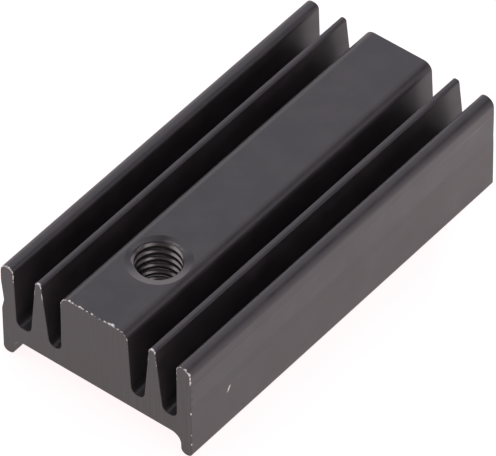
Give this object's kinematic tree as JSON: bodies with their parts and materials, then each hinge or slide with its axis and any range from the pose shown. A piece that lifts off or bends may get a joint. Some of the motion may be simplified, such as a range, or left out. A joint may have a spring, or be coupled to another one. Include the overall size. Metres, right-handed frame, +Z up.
{
  "type": "heat sink",
  "caption": "Small extruded aluminium heat sink, black anodised, with tapered fins, a tapped fixing hole and a channel for a transistor tab.",
  "frame": {"origin": "midway between the ends of the two legs, at mid length of the bar, on the surface that it stands on", "axes": "+X across the section, +Y along the extrusion away from the tapped hole, +Z up from the leg ends to the top of the block"},
  "size_m": [0.0126, 0.0254, 0.0065],
  "materials": {
    "black_anodised_aluminium": "satin black anodised"
  },
  "bodies": {
    "root": {"heat_sink": "black_anodised_aluminium"}
  },
  "joints": []
}
